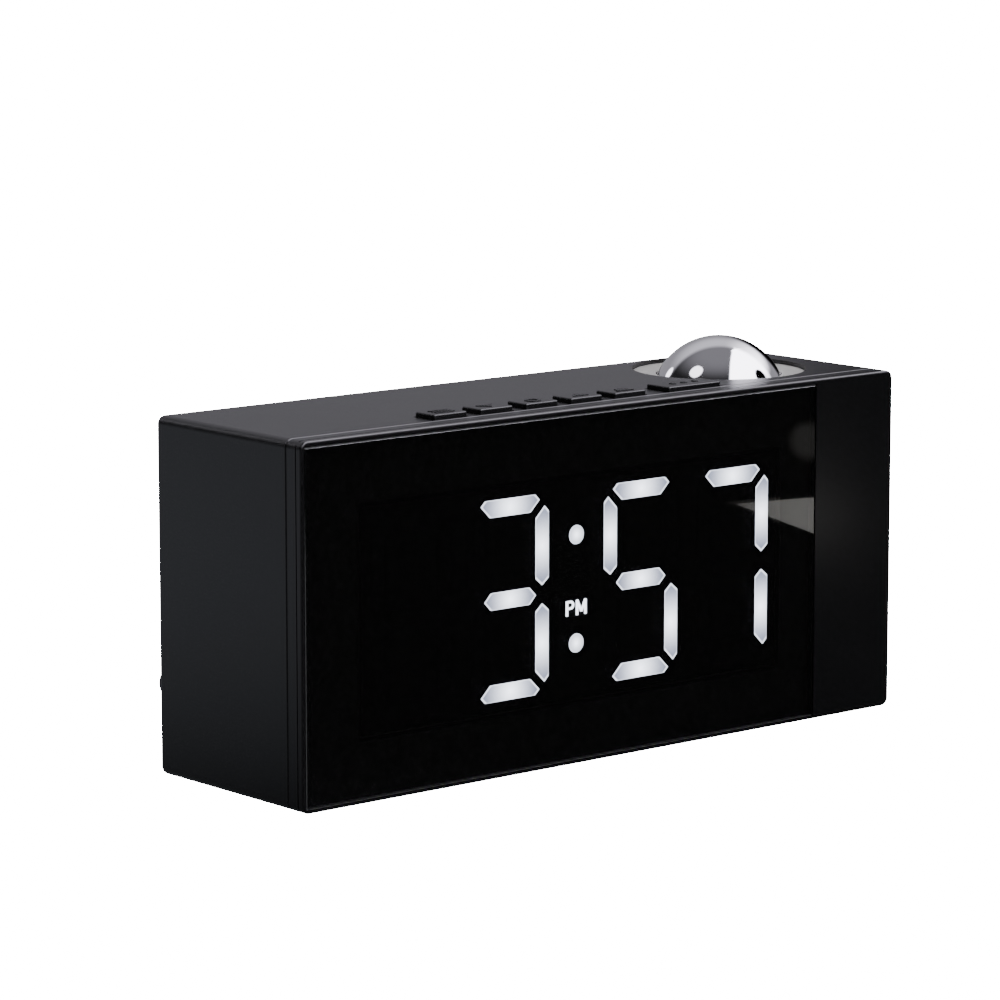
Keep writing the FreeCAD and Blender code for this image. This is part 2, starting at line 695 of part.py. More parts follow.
# Display: smoked lens, tape, light block, segment diffusers, lamps and the board behind them.
def make_display():
    lens = new_body("display_lens")
    pad(lens, "XZ", "plate", FRONT, LENS_BACK, lens_box("0"))
    front = number(FRONT)
    dress(lens, "Chamfer", "front_edge", "lens_chamfer", lambda edge: lies_at(edge, 1, front))

    tape = new_body("lens_tape")
    pad(tape, "XZ", "frame", LENS_BACK, PLATE_FRONT, lens_box("-fit_gap"), block_box("block_gap + 1"))

    block = new_body("display_block")
    pad(block, "XZ", "block", BLOCK_FRONT, BOARD_FRONT, block_box("0"))
    for i, left in enumerate(digit_lefts()):
        wells = [segment(letter, left) for letter in ALL_SEGMENTS]
        pocket(block, "XZ", f"wells_{i}", BLOCK_FRONT, BOARD_FRONT, *wells)
    marks = (*colon_circles("colon_radius"), mark_box("0"))
    pocket(block, "XZ", "small_wells", BLOCK_FRONT, BOARD_FRONT, *marks)

    lit = new_body("lit_segments")
    dark = new_body("dark_segments")
    lit_back = f"({BLOCK_FRONT} + segment_depth)"
    for i, (left, on) in enumerate(zip(digit_lefts(), LIT)):
        for body, letters in ((lit, on), (dark, [letter for letter in ALL_SEGMENTS if letter not in on])):
            if letters:
                bars = [inset_segment(letter, left) for letter in letters]
                pad(body, "XZ", f"bars_{i}", BLOCK_FRONT, lit_back, *bars)
    dots = colon_circles("colon_radius - segment_gap")
    pad(lit, "XZ", "marks", BLOCK_FRONT, lit_back, *dots, mark_box("-segment_gap"))

    chips = new_body("lamp_chips")
    chip_front = f"({BOARD_FRONT} - chip_high)"
    for i, left in enumerate(digit_lefts()):
        boxes = [chip_box(letter, left) for letter in ALL_SEGMENTS]
        pad(chips, "XZ", f"chips_{i}", chip_front, BOARD_FRONT, *boxes)
    spots = [(x, z, "chip_wide / 2") for x, z, _ in colon_circles("0")]
    spots.append((DISPLAY_X, f"{DIGITS_LOW} + digit_high / 2 - mark_drop", "chip_wide / 2"))
    pad(chips, "XZ", "small_chips", chip_front, BOARD_FRONT, *spots)

    board = new_body("main_board")
    edge = box(
        f"{DIGITS_LEFT} - block_margin - 2 * board_boss_radius - 2 * rest_gap",
        f"{DIGITS_LOW} - board_margin",
        f"{DIGITS_RIGHT} + block_margin + 2 * board_boss_radius + 2 * rest_gap",
        f"{DIGITS_HIGH} + board_edge",
    )
    holes = [(x, z, "small_shank_radius + screw_clear") for x, z in board_screw_places()]
    pad(board, "XZ", "board", BOARD_FRONT, BOARD_BACK, edge, *holes)

    parts = new_body("board_parts")
    middle_z = f"({DIGITS_LOW} + digit_high / 2)"
    chip = around(f"({DIGITS_LEFT} + 1.3 * digit_pitch)", middle_z, "digit_pitch / 4", "digit_pitch / 5")
    plug = around(f"({DIGITS_LEFT} + 2.4 * digit_pitch)", middle_z, "digit_pitch / 6", "digit_wide / 2")
    pad(parts, "XZ", "controller", BOARD_BACK, f"{BOARD_BACK} + 2 * chip_high", chip)
    pad(parts, "XZ", "connector", BOARD_BACK, f"{BOARD_BACK} + segment_thick", plug)
    can_z = f"{DIGITS_LOW} + segment_thick"
    cans = [(f"{DIGITS_LEFT} + {i} * digit_wide", can_z, "segment_thick") for i in (1, 2)]
    pad(parts, "XZ", "capacitors", BOARD_BACK, f"{BOARD_BACK} + digit_wide / 3", *cans)

    screws = new_body("board_screws")
    heads = [(x, z, "small_head_radius") for x, z in board_screw_places()]
    shanks = [(x, z, "small_shank_radius") for x, z in board_screw_places()]
    pad(screws, "XZ", "heads", BOARD_BACK, f"{BOARD_BACK} + small_head_high", *heads)
    pad(screws, "XZ", "shanks", f"{BOARD_BACK} - small_screw_long", BOARD_BACK, *shanks)


def inset_segment(letter, left):
    """A segment's outline drawn in on every side towards its own middle, by about the gap."""
    outline = segment(letter, left)
    xs = [number(x) for x, _ in outline]
    zs = [number(z) for _, z in outline]
    middle_x = (min(xs) + max(xs)) / 2
    middle_z = (min(zs) + max(zs)) / 2
    moved = []
    for (x, z), at_x, at_z in zip(outline, xs, zs):
        sign_x = "-" if at_x > middle_x + 0.01 else "+" if at_x < middle_x - 0.01 else "+ 0 *"
        sign_z = "-" if at_z > middle_z + 0.01 else "+" if at_z < middle_z - 0.01 else "+ 0 *"
        moved.append((f"{x} {sign_x} segment_gap", f"{z} {sign_z} segment_gap"))
    return moved


def chip_box(letter, left):
    """The lamp behind a segment, lying along it on the board."""
    across = {"a": 0.5, "d": 0.5, "g": 0.5, "b": 1, "c": 1, "e": 0, "f": 0}[letter]
    up = {"a": 1, "g": 0.5, "d": 0, "b": 0.75, "f": 0.75, "c": 0.25, "e": 0.25}[letter]
    x = f"({left} + segment_thick / 2 + {across} * (digit_wide - segment_thick))"
    z = f"({DIGITS_LOW} + segment_thick / 2 + {up} * (digit_high - segment_thick))"
    half_sizes = ("chip_long / 2", "chip_wide / 2")
    return around(x, z, *(half_sizes if letter in "adg" else half_sizes[::-1]))


# Case screws: four pan heads at the bottom of the wells, biting into the bezel's bosses.
def make_case_screws():
    body = new_body("case_screws")
    heads = [(x, z, "case_head_radius") for x, z in screw_places()]
    shanks = [(x, z, "case_shank_radius") for x, z in screw_places()]
    pad(body, "XZ", "heads", SCREW_SEAT, f"{SCREW_SEAT} + case_head_high", *heads)
    pad(body, "XZ", "shanks", SCREW_TIP, SCREW_SEAT, *shanks)
    slots = [around(x, z, "case_shank_radius", "case_shank_radius / 4") for x, z in screw_places()]
    head_end = f"({SCREW_SEAT} + case_head_high)"
    pocket(body, "XZ", "slots", f"{head_end} - case_head_high / 2", head_end, *slots)


def make_feet():
    names = ("foot_front_left", "foot_front_right", "foot_back_left", "foot_back_right")
    for name, (x, y) in zip(names, foot_places()):
        body = new_body(name)
        pad(body, "XY", "pad", "0", f"{FLOOR} + foot_recess", (x, y, "foot_radius"))
        dress(body, "Chamfer", "low_edge", "foot_stand / 3", lambda edge: lies_at(edge, 2, 0))


# Buttons: each cap passes its slot, and a flange under the top wall stops it from coming out.
def make_buttons():
    names = [f"{key}_button" for key in KEYS] + ["snooze_button"]
    caps = button_boxes("0")
    flanges = button_boxes("flange_wide")
    top = number(f"{TOP} + button_proud")
    for name, x, cap, flange in zip(names, button_centres(), caps, flanges):
        body = new_body(name)
        pad(body, "XY", "cap", FLANGE_TOP, f"{TOP} + button_proud", cap)
        dress(body, "Fillet", "corners", "2 * button_edge", lambda edge: runs_along(edge, Vector(0, 0, 1)))
        dress(body, "Fillet", "top_edge", "button_edge", lambda edge: lies_at(edge, 2, top))
        pad(body, "XY", "flange", f"{FLANGE_TOP} - flange_thick", FLANGE_TOP, flange)
        pad(body, "XY", "stem", STEM_END, f"{FLANGE_TOP} - flange_thick", (x, BUTTON_Y, "stem_radius"))


def make_key_board():
    board = new_body("key_board")
    front = f"({FRONT} + key_board_front)"
    edge = box(
        f"{BUTTON_FIRST} - button_wide / 2 - key_board_overhang / 2",
        front,
        f"{SNOOZE_X} + snooze_wide / 2",
        f"{front} + key_board_deep",
    )
    holes = [(x, y, "small_shank_radius + screw_clear") for x, y in key_post_places()]
    pad(board, "XY", "board", f"{KEY_BOARD_TOP} - board_thick", KEY_BOARD_TOP, edge, *holes)

    switches = new_body("key_switches")
    cases = [around(x, BUTTON_Y, "switch_side / 2", "switch_side / 2") for x in button_centres()]
    pad(switches, "XY", "cases", KEY_BOARD_TOP, SWITCH_TOP, *cases)
    plungers = [(x, BUTTON_Y, "plunger_radius") for x in button_centres()]
    pad(switches, "XY", "plungers", SWITCH_TOP, PLUNGER_TOP, *plungers)

    screws = new_body("key_board_screws")
    under = f"({KEY_BOARD_TOP} - board_thick)"
    heads = [(x, y, "small_head_radius") for x, y in key_post_places()]
    shanks = [(x, y, "small_shank_radius") for x, y in key_post_places()]
    pad(screws, "XY", "heads", f"{under} - small_head_high", under, *heads)
    pad(screws, "XY", "shanks", under, f"{under} + small_screw_long", *shanks)


# Projector dish: drops into the case's seat, hooks under its ledge and carries the ball in two ears.
def make_dish():
    body = new_body("projector_dish")
    ball_hole = "sqrt((ball_radius + ball_clear)^2 - (ball_drop - dish_recess - dish_slope)^2)"
    low_hole = "sqrt((ball_radius + ball_clear)^2 - (ball_drop - dish_recess - dish_thick)^2)"
    profile = [
        (low_hole, LEDGE_TOP),
        (f"{RING_RADIUS} - dish_gap", LEDGE_TOP),
        (f"{RING_RADIUS} - dish_gap", DISH_TOP),
        (ball_hole, f"{DISH_TOP} - dish_slope"),
    ]
    turn(body, "Revolution", "plate", profile, BALL_X, BALL_Y)
    for name, sign in (("left", "-"), ("right", "+")):
        near_face = f"({BALL_X} {sign} {EAR_INNER})"
        far_face = f"({BALL_X} {sign} {EAR_OUTER})"
        low, high = (far_face, near_face) if sign == "-" else (near_face, far_face)
        web_high = f"{LEDGE_TOP} + rest_gap"
        web = box(f"{BALL_Y} - ear_half_wide", BALL_Z, f"{BALL_Y} + ear_half_wide", web_high)
        pad(body, "YZ", f"{name}_ear", low, high, web)
        pad(body, "YZ", f"{name}_ear_end", low, high, (BALL_Y, BALL_Z, "ear_half_wide"))
        pocket(body, "YZ", f"{name}_bore", low, high, (BALL_Y, BALL_Z, "pin_radius + pin_run_gap"))
    for name, sign in (("front", "-"), ("back", "+")):
        inner = f"({BALL_Y} {sign} ({HOOK_OUTER} - hook_thick))"
        outer = f"({BALL_Y} {sign} {HOOK_OUTER})"
        barb = f"({BALL_Y} {sign} ({HOOK_OUTER} + barb_reach))"
        low = f"({LEDGE_LOW} - hook_long / 2)"
        half = "hook_wide / 2"
        stem = box(inner, low, outer, f"{LEDGE_TOP} + rest_gap")
        pad(body, "YZ", f"{name}_hook", f"{BALL_X} - {half}", f"{BALL_X} + {half}", stem)
        point = [(outer, low), (outer, f"{LEDGE_LOW} - rest_gap"), (barb, f"{LEDGE_LOW} - rest_gap")]
        pad(body, "YZ", f"{name}_barb", f"{BALL_X} - {half}", f"{BALL_X} + {half}", point)


# Projector ball: two shell halves on a pair of pins, with the optics on one axis inside.
# Each piece is drawn upright about its own origin, then tilted and moved to the ball's centre.
def set_in_ball(body):
    body.Placement = FreeCAD.Placement(Vector(0, 0, 0), FreeCAD.Rotation(Vector(1, 0, 0), -1))
    body.setExpression("Placement.Rotation.Angle", tied("-lens_tilt"))
    body.setExpression("Placement.Base.x", tied(BALL_X))
    body.setExpression("Placement.Base.y", tied(BALL_Y))
    body.setExpression("Placement.Base.z", tied(BALL_Z))
    doc.recompute()


def half_ball(body, sign, radius_text, kind, name):
    """A half sphere turned from a quarter disc, above or below the seam."""
    before = body.Shape.Volume if body.Tip else 0
    sketch = new_sketch(body, "XZ", name + "_sketch", "0", [])
    radius = number(radius_text)
    start, end = (0, 90) if sign > 0 else (270, 360)
    circle_line = Part.Circle(Vector(0, 0, 0), Vector(0, 0, 1), radius)
    arc = Part.ArcOfCircle(circle_line, math.radians(start), math.radians(end))
    sketch.addGeometry(arc, False)
    pole = Vector(0, sign * radius, 0)
    side = Vector(radius, 0, 0)
    sketch.addGeometry(Part.LineSegment(pole, Vector(0, 0, 0)), False)
    sketch.addGeometry(Part.LineSegment(Vector(0, 0, 0), side), False)
    pole_end, side_end = (2, 1) if sign > 0 else (1, 2)
    for rule in (
        Sketcher.Constraint("Coincident", 0, 3, -1, 1),
        Sketcher.Constraint("Coincident", 1, 1, 0, pole_end),
        Sketcher.Constraint("Coincident", 1, 2, -1, 1),
        Sketcher.Constraint("Coincident", 2, 1, -1, 1),
        Sketcher.Constraint("Coincident", 2, 2, 0, side_end),
        Sketcher.Constraint("Vertical", 1),
        Sketcher.Constraint("Horizontal", 2),
    ):
        sketch.addConstraint(rule)
    place = sketch.addConstraint(Sketcher.Constraint("Radius", 0, radius))
    sketch.setExpression(f"Constraints[{place}]", tied(radius_text))
    feature = body.newObject("PartDesign::" + kind, name)
    feature.Profile = sketch
    feature.ReferenceAxis = (sketch, ["V_Axis"])
    feature.Angle = 360
    check_change(body, feature, before, kind == "Revolution")


def make_ball():
    inner = "(ball_radius - ball_wall)"
    for label, sign in (("ball_lens_half", 1), ("ball_rear_half", -1)):
        body = new_body(label)
        half_ball(body, sign, "ball_radius", "Revolution", "skin")
        half_ball(body, sign, inner, "Groove", "hollow")
        low, high = ("0", "ball_radius") if sign > 0 else ("-ball_radius", "0")
        for name, side in (("left", -1), ("right", 1)):
            span = ("-ball_radius", f"-{FLAT_REACH}") if side < 0 else (FLAT_REACH, "ball_radius")
            slab = box("-ball_radius", low, "ball_radius", high)
            pocket(body, "YZ", f"{name}_flat", *span, slab)
            span = (f"-{FLAT_REACH}", "-pin_start") if side < 0 else ("pin_start", FLAT_REACH)
            boss = box("-pin_boss_radius", "0", "pin_boss_radius", f"{sign} * pin_boss_radius")
            pad(body, "YZ", f"{name}_boss", *span, boss)
        bore = ("0", "0", "pin_radius + rest_gap")
        pocket(body, "YZ", "pin_bores", "-ball_radius", "ball_radius", bore)
        if sign > 0:
            finish_lens_half(body)
        else:
            pocket(body, "XY", "lead_hole", "-ball_radius", f"-{inner} / 2", ("0", "0", "lead_hole_radius"))
        set_in_ball(body)


def finish_lens_half(body):
    """The sleeve round the aperture, which holds the lens barrel."""
    inner = "(ball_radius - ball_wall)"
    skin_z = f"sqrt({inner}^2 - sleeve_radius^2) + ball_wall / 2"
    pad(body, "XY", "sleeve", "sleeve_low", skin_z, ("0", "0", "sleeve_radius"))
    pocket(body, "XY", "aperture", "sleeve_low", "ball_radius", ("0", "0", "aperture_radius"))


def make_pins():
    body = new_body("pivot_pins")
    spot = ("0", "0", "pin_radius")
    pad(body, "YZ", "left_pin", f"-{EAR_OUTER}", "-pin_start", spot)
    pad(body, "YZ", "right_pin", "pin_start", EAR_OUTER, spot)
    set_in_ball(body)


def make_optics():
    outer = "(aperture_radius - barrel_gap)"
    inner = f"({outer} - barrel_wall)"
    step = f"({inner} - seat_step)"
    optic_low = "(barrel_top - optic_thick)"

    barrel = new_body("lens_barrel")
    profile = [
        (inner, "barrel_top"),
        (outer, "barrel_top"),
        (outer, "barrel_low"),
        (inner, "barrel_low"),
        (inner, "film_place"),
        (step, "film_place"),
        (step, f"{optic_low} - rest_gap"),
        (inner, f"{optic_low} - rest_gap"),
    ]
    turn(barrel, "Revolution", "tube", profile)
    set_in_ball(barrel)

    optic = new_body("projection_lens")
    pad(optic, "XY", "glass", optic_low, "barrel_top - rest_gap", ("0", "0", f"{inner} - barrel_gap"))
    top = number("barrel_top - rest_gap")
    dress(optic, "Fillet", "crown", "optic_thick / 2.2", lambda edge: lies_at(edge, 2, top))
    set_in_ball(optic)

    film = new_body("time_film")
    film_top = "(film_place - rest_gap)"
    pad(film, "XY", "disc", f"{film_top} - film_thick", film_top, ("0", "0", f"{inner} - barrel_gap"))
    set_in_ball(film)

    ring = new_body("lens_ring")
    ring_low = "(barrel_top + rest_gap)"
    ring_high = "sqrt(ball_radius^2 - aperture_radius^2) - rest_gap"
    profile = [
        ("cap_ring_inner", ring_low),
        (outer, ring_low),
        (outer, ring_high),
        (f"{outer} - barrel_gap * 6", ring_high),
    ]
    turn(ring, "Revolution", "ring", profile)
    set_in_ball(ring)

    lamp = new_body("projector_lamp")
    board_top = "(barrel_low - rest_gap)"
    pad(lamp, "XY", "board", f"{board_top} - lamp_board_thick", board_top, ("0", "0", "lamp_board_radius"))
    pad(lamp, "XY", "dome", board_top, f"{board_top} + lamp_radius", ("0", "0", "lamp_radius"))
    crown = number(f"{board_top} + lamp_radius")
    dress(lamp, "Fillet", "dome_edge", "lamp_radius * 0.9", lambda edge: lies_at(edge, 2, crown))
    set_in_ball(lamp)


# Battery door, its cells and the contact plates at the ends of the bay.
def make_battery():
    door = new_body("battery_door")
    pad(door, "XZ", "plate", DOOR_INNER, BACK, box(DOOR_LEFT, DOOR_LOW, DOOR_RIGHT, DOOR_HIGH))
    low = number(DOOR_LOW)
    hinge = lambda edge: runs_along(edge, Vector(1, 0, 0)) and lies_at(edge, 2, low)
    dress(door, "Fillet", "hinge_edge", "door_thick / 2 - 0.01", hinge)
    pin = (f"{BACK} - door_thick / 2", f"{DOOR_LOW} + door_thick / 2", "door_pin_radius")
    reach = "door_gap / 2 + door_pin_long"
    pad(door, "YZ", "pins", f"{DOOR_LEFT} - ({reach})", f"{DOOR_RIGHT} + {reach}", pin)

    middle_z = f"(({DOOR_LOW} + {DOOR_HIGH}) / 2)"
    cell_y = f"({BAY_BOTTOM} + cell_radius + rest_gap)"
    for name, sign in (("upper", 1), ("lower", -1)):
        cell = new_body(f"{name}_cell")
        z = f"({middle_z} + {sign} * cell_pitch / 2)"
        start = "(bay_centre - cell_long / 2)"
        end = "(bay_centre + cell_long / 2)"
        can = (f"{start} + cell_nub_long", end) if sign > 0 else (start, f"{end} - cell_nub_long")
        nub = (start, can[0]) if sign > 0 else (can[1], end)
        pad(cell, "YZ", "can", *can, (cell_y, z, "cell_radius"))
        pad(cell, "YZ", "nub", *nub, (cell_y, z, "cell_nub_radius"))

    contacts = new_body("battery_contacts")
    room_left = f"({DOOR_LEFT} + bay_ledge)"
    room_right = f"({DOOR_RIGHT} - bay_ledge)"
    cell_left = "(bay_centre - cell_long / 2)"
    cell_right = "(bay_centre + cell_long / 2)"
    up = f"({middle_z} + cell_pitch / 2 + cell_radius * 0.8)"
    down = f"({middle_z} - cell_pitch / 2 - cell_radius * 0.8)"
    ends = (("left", room_left, cell_left, 1), ("right", room_right, cell_right, -1))
    for name, wall, reach, sign in ends:
        face = f"({wall} + {sign} * contact_thick)"
        tip = f"({reach} - {sign} * contact_gap)"
        leaf = [
            (wall, f"{cell_y} - cell_radius * 0.8"),
            (face, f"{cell_y} - cell_radius * 0.8"),
            (face, f"{cell_y} - cell_nub_radius"),
            (tip, cell_y),
            (face, f"{cell_y} + cell_nub_radius"),
            (face, f"{cell_y} + cell_radius * 0.8"),
            (wall, f"{cell_y} + cell_radius * 0.8"),
        ]
        pad(contacts, "XY", f"{name}_leaf", down, up, leaf)


def make_sounder():
    body = new_body("sounder")
    centre = ("sounder_centre", f"{FLOOR} + sounder_height")
    back = f"({INNER_BACK} - rest_gap)"
    front = f"({back} - sounder_deep)"
    pad(body, "XZ", "can", front, back, (*centre, "sounder_radius"))
    pad(body, "XZ", "magnet", f"{front} - sounder_magnet_deep", front, (*centre, "sounder_magnet_radius"))
    cone = (*centre, "sounder_radius - sounder_collar")
    pocket(body, "XZ", "cone_recess", f"{back} - sounder_deep / 3", back, cone)


def make_socket():
    body = new_body("power_socket")
    back = f"({INNER_BACK} - rest_gap)"
    block = around(SOCKET_X, SOCKET_Z, "socket_block / 2", "socket_block / 2")
    pad(body, "XZ", "block", f"{back} - socket_block_deep", back, block)
    pad(body, "XZ", "neck", back, f"{BACK} + rest_gap", (SOCKET_X, SOCKET_Z, "socket_neck_radius"))
    pad(body, "XZ", "collar", f"{BACK} + rest_gap", COLLAR_END, (SOCKET_X, SOCKET_Z, "collar_radius"))
    end = number(COLLAR_END)
    dress(body, "Fillet", "collar_edge", "corner_round / 3", lambda edge: lies_at(edge, 1, end))
    bore = (SOCKET_X, SOCKET_Z, "socket_bore_radius")
    pocket(body, "XZ", "bore", f"{COLLAR_END} - socket_bore_deep", COLLAR_END, bore)

    pin = new_body("socket_pin")
    tip = f"({COLLAR_END} - socket_pin_short)"
    spot = (SOCKET_X, SOCKET_Z, "socket_pin_radius")
    pad(pin, "XZ", "pin", f"{COLLAR_END} - socket_bore_deep", tip, spot)
    reach = number(tip)
    dress(pin, "Fillet", "tip", "socket_pin_radius / 2", lambda edge: lies_at(edge, 1, reach))


make_rear_housing()
make_front_bezel()
make_display()
make_case_screws()
make_feet()
make_buttons()
make_key_board()
make_dish()
make_ball()
make_pins()
make_optics()
make_battery()
make_sounder()
make_socket()
doc.recompute()

for item in doc.Objects:
    if "Invalid" in item.State or "Error" in item.State:
        raise ValueError(f"{item.Name} failed: {item.State}")
for node in nodes:
    if node.Shape.isNull() or not node.Shape.isValid():
        raise ValueError(f"{node.Label} has no valid shape")

os.makedirs("parts", exist_ok=True)
for node in nodes:
    node.Shape.exportStep(f"parts/{node.Label}.step")
print(len(nodes), "pieces written")
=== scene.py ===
import bmesh
import bpy
import numpy as np
from mathutils import Matrix, Vector


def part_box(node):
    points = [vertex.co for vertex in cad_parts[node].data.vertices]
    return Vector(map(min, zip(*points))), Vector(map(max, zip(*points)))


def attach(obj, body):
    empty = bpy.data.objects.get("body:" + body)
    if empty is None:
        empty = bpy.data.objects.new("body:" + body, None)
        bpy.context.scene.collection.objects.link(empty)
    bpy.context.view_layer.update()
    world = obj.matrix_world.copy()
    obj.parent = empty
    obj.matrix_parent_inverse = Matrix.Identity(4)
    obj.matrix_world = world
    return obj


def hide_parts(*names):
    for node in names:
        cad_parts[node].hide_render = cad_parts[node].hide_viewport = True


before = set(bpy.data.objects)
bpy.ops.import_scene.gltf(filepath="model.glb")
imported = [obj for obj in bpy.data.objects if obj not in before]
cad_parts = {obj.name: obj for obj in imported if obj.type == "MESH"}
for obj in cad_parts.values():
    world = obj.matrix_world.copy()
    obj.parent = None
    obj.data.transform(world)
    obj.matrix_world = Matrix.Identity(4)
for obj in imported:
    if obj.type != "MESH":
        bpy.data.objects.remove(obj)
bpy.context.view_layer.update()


# Camera and stage: the photograph's view on the clock, a plain pale floor, and soft studio light.
# The room is bright behind the clock and to the upper right, and dark in front, as a tent with
# one open side is, so that the black case keeps its depth and the chrome has something to show.
RIGHTWARD = Vector((0.7633, -0.6461, 0.0))
FORWARD = Vector((0.6375, 0.7531, -0.1626)).normalized()
UPWARD = RIGHTWARD.cross(FORWARD).normalized()
BACKDROP = 30.0
camera = bpy.data.objects.new("camera", bpy.data.cameras.new("camera"))
camera.data.lens = 159.4
camera.data.sensor_width = 36
camera.data.clip_start = 0.05
axes = Matrix((RIGHTWARD, UPWARD, -FORWARD)).transposed().to_4x4()
camera.matrix_world = Matrix.Translation((-0.6868, -0.7993, 0.2329)) @ axes
bpy.context.scene.collection.objects.link(camera)
bpy.context.scene.camera = camera


class Link:
    """A socket of a node tree. Arithmetic on it adds Math nodes."""

    def __init__(self, shade, socket):
        self.shade = shade
        self.socket = socket

    def maths(self, operation, *values):
        """One Math node over those values."""
        return self.shade.node("Math", {"operation": operation}, dict(enumerate(values)))

    def __add__(self, other):
        return self.maths("ADD", self, other)

    def __radd__(self, other):
        return self.maths("ADD", other, self)

    def __sub__(self, other):
        return self.maths("SUBTRACT", self, other)

    def __rsub__(self, other):
        return self.maths("SUBTRACT", other, self)

    def __mul__(self, other):
        return self.maths("MULTIPLY", self, other)

    def __rmul__(self, other):
        return self.maths("MULTIPLY", other, self)

    def most(self, other):
        """The larger of the two."""
        return self.maths("MAXIMUM", self, other)

    def rise(self, start, end):
        """0 before start and 1 after end, with a smooth step. It falls where end is below start."""
        if start > end:
            return 1 - self.rise(end, start)
        limits = {"Value": self, "From Min": start, "From Max": end}
        return self.shade.node("MapRange", {"interpolation_type": "SMOOTHSTEP"}, limits)


class Shade:
    """The node tree of one finish, of the floor or of the sky."""

    def __init__(self, tree):
        self.tree = tree
        tree.nodes.clear()

    def node(self, kind, settings=None, inputs=None, out=0):
        """A node of that kind, its settings first and then the values or links of its sockets."""
        made = self.tree.nodes.new("ShaderNode" + kind)
        for name, value in (settings or {}).items():
            setattr(made, name, value)
        for name, value in (inputs or {}).items():
            if isinstance(value, Link):
                self.tree.links.new(value.socket, made.inputs[name])
            else:
                made.inputs[name].default_value = value
        return Link(self, made.outputs[out]) if made.outputs else None

    def spot(self):
        """The surface's place on the clock, as one vector."""
        return self.node("TexCoord", out="Object")

    def axes(self, spot):
        """The three numbers of a place."""
        return [self.node("SeparateXYZ", inputs={0: spot}, out=axis) for axis in "XYZ"]

    def distance(self, spot, centre):
        """How far a place is from a fixed point, in metres."""
        return self.node("VectorMath", {"operation": "DISTANCE"}, {0: spot, 1: centre}, out="Value")

    def grain(self, spot, scale, detail=2.0):
        """Soft noise of about 0 to 1, with a cell every 1/scale metres."""
        return self.node("TexNoise", inputs={"Vector": spot, "Scale": scale, "Detail": detail}, out="Fac")

    def blend(self, mask, low, high):
        """One colour where the mask is 0 and another where it is 1."""
        made = self.tree.nodes.new("ShaderNodeMix")
        made.data_type = "RGBA"
        for place, value in ((0, mask), (6, low), (7, high)):
            if isinstance(value, Link):
                self.tree.links.new(value.socket, made.inputs[place])
            else:
                made.inputs[place].default_value = value if place == 0 else (*value, 1)
        return Link(self, made.outputs[2])

    def relief(self, height, depth):
        """A Bump node's normal from a height of 0 to 1 that is worth depth metres."""
        return self.node("Bump", inputs={"Height": height, "Distance": depth, "Strength": 1.0})


def new_finish(name):
    """A material of that name with an empty tree."""
    material = bpy.data.materials.new(name)
    material.use_nodes = True
    return material, Shade(material.node_tree)


floor_mesh = bpy.data.meshes.new("floor")
reach = 4
floor_corners = [(-reach, -reach, 0), (reach, -reach, 0), (reach, reach, 0), (-reach, reach, 0)]
floor_mesh.from_pydata(floor_corners, [], [(0, 1, 2, 3)])
floor = bpy.data.objects.new("floor", floor_mesh)
bpy.context.scene.collection.objects.link(floor)
pale, shade = new_finish("pale_floor")
x, y, z = shade.axes(shade.spot())
seen_in_gloss = shade.node("LightPath", out="Is Glossy Ray")
seen_at_first = shade.node("LightPath", out="Is Camera Ray")
# Painted shade and painted light on the floor, seen only in reflections: its glow is near black in front of
# the clock and grows towards the far left behind it.
painted_far_light = (x * -0.65 + y * 0.76).rise(-0.05, 0.33)
gloss = shade.node("Emission", inputs={"Color": (0.9, 0.94, 1.05, 1), "Strength": 0.02 + painted_far_light * 0.46})
paper = shade.node("BsdfDiffuse", inputs={"Color": (0.9, 0.9, 0.9, 1)})
glow = shade.node("Emission", inputs={"Color": (1, 1, 1, 1), "Strength": seen_at_first * BACKDROP})
lit_paper = shade.node("AddShader", inputs={0: paper, 1: glow})
shown = shade.node("MixShader", inputs={0: seen_in_gloss, 1: lit_paper, 2: gloss})
shade.node("OutputMaterial", inputs={"Surface": shown})
floor_mesh.materials.append(pale)

world = bpy.data.worlds.new("studio")
world.use_nodes = True
bpy.context.scene.world = world
shade = Shade(world.node_tree)
way = shade.node("TexCoord", out="Generated")


def along(direction):
    """How far the ray's direction points along a unit direction, from -1 to 1."""
    settings = {"operation": "DOT_PRODUCT"}
    return shade.node("VectorMath", settings, {0: way, 1: tuple(direction)}, out="Value")


across = along(RIGHTWARD)
above = along(UPWARD)
toward = along(-FORWARD)


def patch(right, up, back, core, edge):
    """1 within core degrees of a direction and 0 outside edge degrees, given in the camera's own axes."""
    direction = (right * RIGHTWARD + up * UPWARD - back * FORWARD).normalized()
    return along(direction).rise(float(np.cos(np.radians(edge))), float(np.cos(np.radians(core))))


behind = toward.rise(-0.24, -0.44)
wall = 0.36 + 0.5 * above.rise(0.45, 0.85) + 4.5 * across.rise(0.1, 0.75) * above.rise(0.42, 0.65)
dark_side = 0.02 + 0.24 * above.rise(0.55, 0.98)
window = across.rise(0.24, 0.28) * across.rise(0.95, 0.75) * above.rise(0.12, 0.3) * (1 - behind)
small_lamps = patch(-0.757, 0.476, -0.449, 5, 7) + patch(-0.559, 0.747, 0.358, 9, 11)
stand = patch(0.85, 0.52, 0.0, 9, 11)
sky = (behind * wall + (1 - behind) * dark_side + window * 8.0 + small_lamps * 4.0) * (1 - stand)
seen_in_gloss = shade.node("LightPath", out="Is Glossy Ray")
seen_at_first = shade.node("LightPath", out="Is Camera Ray")
level = seen_at_first * BACKDROP + seen_in_gloss * sky + (1 - seen_at_first - seen_in_gloss).most(0) * 0.6
tint = shade.blend(seen_in_gloss, (1, 1, 1), (0.98, 0.955, 1.06))
room = shade.node("Background", inputs={"Color": tint, "Strength": level})
shade.node("OutputWorld", inputs={"Surface": room})


